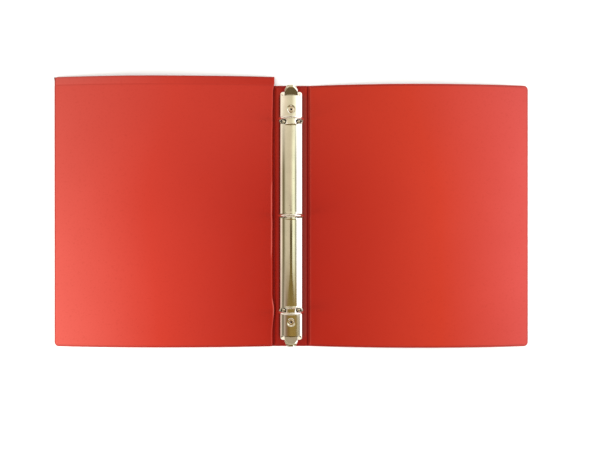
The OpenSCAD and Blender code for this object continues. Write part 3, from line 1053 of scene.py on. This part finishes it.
def build_case():
    skin = vinyl("red_vinyl_grain", *SKIN_REDS, 0.40)
    for side, name in ((FRONT, "front"), (REAR, "rear")):
        case = cover_case(side, f"{name}_case")
        dress(case, skin, "red_vinyl", f"{name}_outer_skin", f"{name}_inner_skin", f"{name}_hinge_strip")
        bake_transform(case)
    spine = spine_case()
    dress(spine, skin, "red_vinyl", "spine_outer_skin", "spine_inner_skin")
    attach(spine, "spine")


def build_pocket():
    film = vinyl("pocket_vinyl_grain", *FILM_REDS, 0.38)
    panel = pocket_panel()
    dress(panel, film, "pocket_vinyl", "front_pocket_panel")
    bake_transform(panel)


def build_shell():
    plate = nickel("shell_nickel_plate", (0.83, 0.80, 0.74), 0.05, (1800, 45, 1800))
    shell = ring_shell()
    dress(shell, plate, "shell_nickel", "ring_shell")
    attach(shell, "spine")


def build_rings():
    wire = nickel("ring_nickel_wire", (0.84, 0.81, 0.76), 0.08, (900, 900, 900))
    for name, ring_y in zip(("top", "middle", "bottom"), RING_Y):
        for side, hand in ((FRONT, "left"), (REAR, "right")):
            ring = half_ring(f"{hand}_wire_{name}", side, ring_y)
            dress(ring, wire, "ring_nickel", f"{hand}_ring_{name}")
            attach(ring, f"{hand}_rings")


def build_rivet(name, end, plate):
    cap = rivet(f"{name}_rivet_turned", end * RIVET_Y)
    dress(cap, plate, "rivet_nickel", f"{name}_rivet")
    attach(cap, "spine")


def build_trigger(name, end, plate):
    tab = trigger(f"{name}_trigger_pressed", end)
    dress(tab, plate, "trigger_nickel", f"{name}_trigger")
    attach(tab, f"{name}_trigger")


def build_ends():
    """The rivet and the trigger at each end of the mechanism."""
    cap_plate = nickel("rivet_nickel_cap", (0.82, 0.70, 0.60), 0.12, (700, 700, 700), WARM_BORE_SHADE)
    tab_plate = nickel("trigger_nickel_plate", (0.80, 0.77, 0.70), 0.1, (1500, 120, 1500))
    for name, end in (("top", 1), ("bottom", -1)):
        build_rivet(name, end, cap_plate)
        build_trigger(name, end, tab_plate)


def build_hidden():
    steel, board = rail_steel(), grey_board()
    for name in ("left_rail", "right_rail"):
        dress_node(name, steel)
    for name in ("spine_board", "front_board", "rear_board"):
        dress_node(name, board)


# ---- Stage ----
# Reflections show a studio of coloured walls, each a list of (degrees from overhead towards +X, colour).
# "along" is the Y of a reflected direction, from -1 past the bottom end to 1 past the top end.

TOP_WALLS = [
    (-90, (1.0, 0.95, 0.85)), (-74, (1.25, 1.15, 0.95)), (-55, (1.15, 1.05, 0.85)), (-40, (0.95, 0.82, 0.62)),
    (-20, (0.85, 0.76, 0.54)), (5, (0.79, 0.73, 0.50)), (15, (1.09, 1.0, 0.74)), (25, (1.25, 1.25, 1.0)),
    (35, (1.6, 1.6, 1.5)), (46, (2.0, 2.0, 2.0)), (78, (2.0, 2.0, 2.0)), (90, (1.3, 1.25, 1.2)),
]
MIDDLE_WALLS = [
    (-90, (1.0, 0.9, 0.8)), (-76, (1.2, 1.0, 0.85)), (-67, (0.9, 0.75, 0.56)), (-61, (0.23, 0.19, 0.10)),
    (-50, (0.22, 0.18, 0.09)), (-44, (0.58, 0.52, 0.36)), (-37, (0.72, 0.64, 0.45)), (-6, (0.72, 0.61, 0.43)),
    (4, (0.9, 0.83, 0.58)), (10, (1.2, 1.2, 0.85)), (22, (1.2, 1.2, 0.85)), (27, (0.5, 0.5, 0.35)),
    (35, (0.42, 0.41, 0.3)), (41, (2.0, 2.0, 2.0)), (78, (2.0, 2.0, 2.0)), (90, (1.2, 1.15, 1.1)),
]
BOTTOM_WALLS = [
    (-90, (1.0, 0.9, 0.8)), (-78, (1.1, 0.85, 0.72)), (-69, (0.6, 0.52, 0.4)), (-62, (0.19, 0.16, 0.10)),
    (-57, (0.2, 0.17, 0.11)), (-51, (0.50, 0.42, 0.32)), (-45, (0.56, 0.45, 0.35)), (-39, (0.36, 0.25, 0.18)),
    (-31, (0.29, 0.18, 0.09)), (-20, (0.26, 0.15, 0.04)), (-4, (0.36, 0.235, 0.06)),
    (26, (0.36, 0.235, 0.06)), (35, (0.32, 0.23, 0.08)), (42, (0.42, 0.34, 0.18)), (49, (0.6, 0.52, 0.36)),
    (56, (0.28, 0.25, 0.18)), (63, (0.9, 0.87, 0.8)), (69, (2.0, 2.0, 2.0)), (90, (1.2, 1.15, 1.1)),
]
STREAK_TOP, STREAK_BOTTOM = (0.11, 0.08, 0.02), (0.33, 0.225, 0.06)
LOW_END, HIGH_END = (0.15, 0.11, 0.045), (0.48, 0.40, 0.28)
BRIGHT_END = (1.35, 1.25, 1.05)
WINDOW = (2, 2, 2)
ROOM_LIGHT = (1.05, 1.05, 1.04)              # for all but reflections

LENS = 27.456
CAMERA_AT = (0.0101, -0.0105, 0.532)


def make_floor():
    half = 3.0
    z = -0.25 * MM
    corners = [(-half, -half, z), (half, -half, z), (half, half, z), (-half, half, z)]
    floor = new_object("floor", corners, [(0, 1, 2, 3)])
    paint(floor, table_top())


def side_walls(n, angle, along):
    """The walls to the left and right, which change towards the two ends."""
    band = n.rise(angle, -math.pi / 2, math.pi / 2)
    sky = n.mix(n.rise(along, 0.12, 0.27), n.bands(band, MIDDLE_WALLS), n.bands(band, TOP_WALLS))
    return n.mix(n.rise(along, -0.06, -0.18), sky, n.bands(band, BOTTOM_WALLS))


def overhead_streak(n, sky, off_middle, along):
    """A dark wedge overhead, which widens from the middle towards the bottom end."""
    half = n.ramp(along, 0.15, 0.45, -0.10, -0.17)
    streak = n.ramp(n.math("SUBTRACT", off_middle, half), 1, 0, -0.05, 0.03)
    streak = n.times(streak, n.rise(along, 0.05, 0))
    streak = n.times(streak, n.rise(along, -0.21, -0.18))
    return n.mix(streak, sky, n.mix(n.rise(along, -0.04, -0.2), STREAK_TOP, STREAK_BOTTOM))


def end_walls(n, sky, off_middle, along):
    """Darker patches overhead at both ends, with bright walls beside them and beyond them."""
    central = n.ramp(off_middle, 1, 0, 0.6, 0.9)
    sky = n.mix(n.times(central, n.rise(along, -0.42, -0.52)), sky, LOW_END)
    sky = n.mix(n.times(central, n.rise(along, 0.42, 0.55)), sky, HIGH_END)
    beside = n.math("SUBTRACT", 1, central)
    for start in (-0.6, 0.6):
        sky = n.mix(n.times(beside, n.rise(along, start, 1.25 * start)), sky, BRIGHT_END)
    for start in (-0.78, 0.78):
        sky = n.mix(n.rise(along, start, 1.13 * start), sky, BRIGHT_END)
    return sky


def make_sky():
    """The studio that reflections show, and an even, nearly white light for everything else."""
    world = bpy.data.worlds.new("studio")
    bpy.context.scene.world = world
    n = Nodes(world, "Generated", "Background")
    across, along, up = n.separate(n.place)
    angle = n.math("ARCTAN2", across, up)
    off_middle = n.math("ABSOLUTE", n.add(angle, 0.02), 0)
    sky = side_walls(n, angle, along)
    sky = overhead_streak(n, sky, off_middle, along)
    sky = end_walls(n, sky, off_middle, along)
    window = n.rise(angle, math.radians(36), math.radians(41))
    sky = n.mix(n.times(window, n.rise(along, -0.19, -0.17)), sky, WINDOW)
    mirrored = n.tree.nodes.new("ShaderNodeLightPath").outputs["Is Glossy Ray"]
    n.link(n.mix(mirrored, ROOM_LIGHT, sky), n.shader.inputs["Color"])


def softbox(name, position, size, power, color=(1, 1, 1)):
    """A soft light turned towards the binder's middle line, which no reflection shows."""
    data = bpy.data.lights.new(name, "AREA")
    data.shape = "RECTANGLE"
    data.size, data.size_y = size
    data.energy = power
    data.color = color
    light = bpy.data.objects.new(name, data)
    light.location = position
    light.rotation_euler = (-Vector((position[0], 0, position[2]))).to_track_quat("-Z", "Y").to_euler()
    light.visible_camera = False
    light.visible_glossy = False
    bpy.context.scene.collection.objects.link(light)


def make_lights():
    softbox("left_box", (-0.55, -0.18, 0.28), (0.2, 0.5), 2.4, (1, 0.98, 0.95))
    softbox("right_box", (0.55, -0.02, 0.28), (0.2, 0.7), 2.1)


def make_camera():
    """Looks straight down, from almost over the middle."""
    data = bpy.data.cameras.new("camera")
    data.sensor_width = 36
    data.lens = LENS
    camera = bpy.data.objects.new("camera", data)
    camera.location = CAMERA_AT
    bpy.context.scene.collection.objects.link(camera)
    bpy.context.scene.camera = camera
    bpy.context.scene.view_settings.view_transform = "Standard"


make_camera()
make_floor()
make_sky()
make_lights()
build_case()
build_pocket()
build_shell()
build_rings()
build_ends()
build_hidden()

bpy.context.view_layer.update()
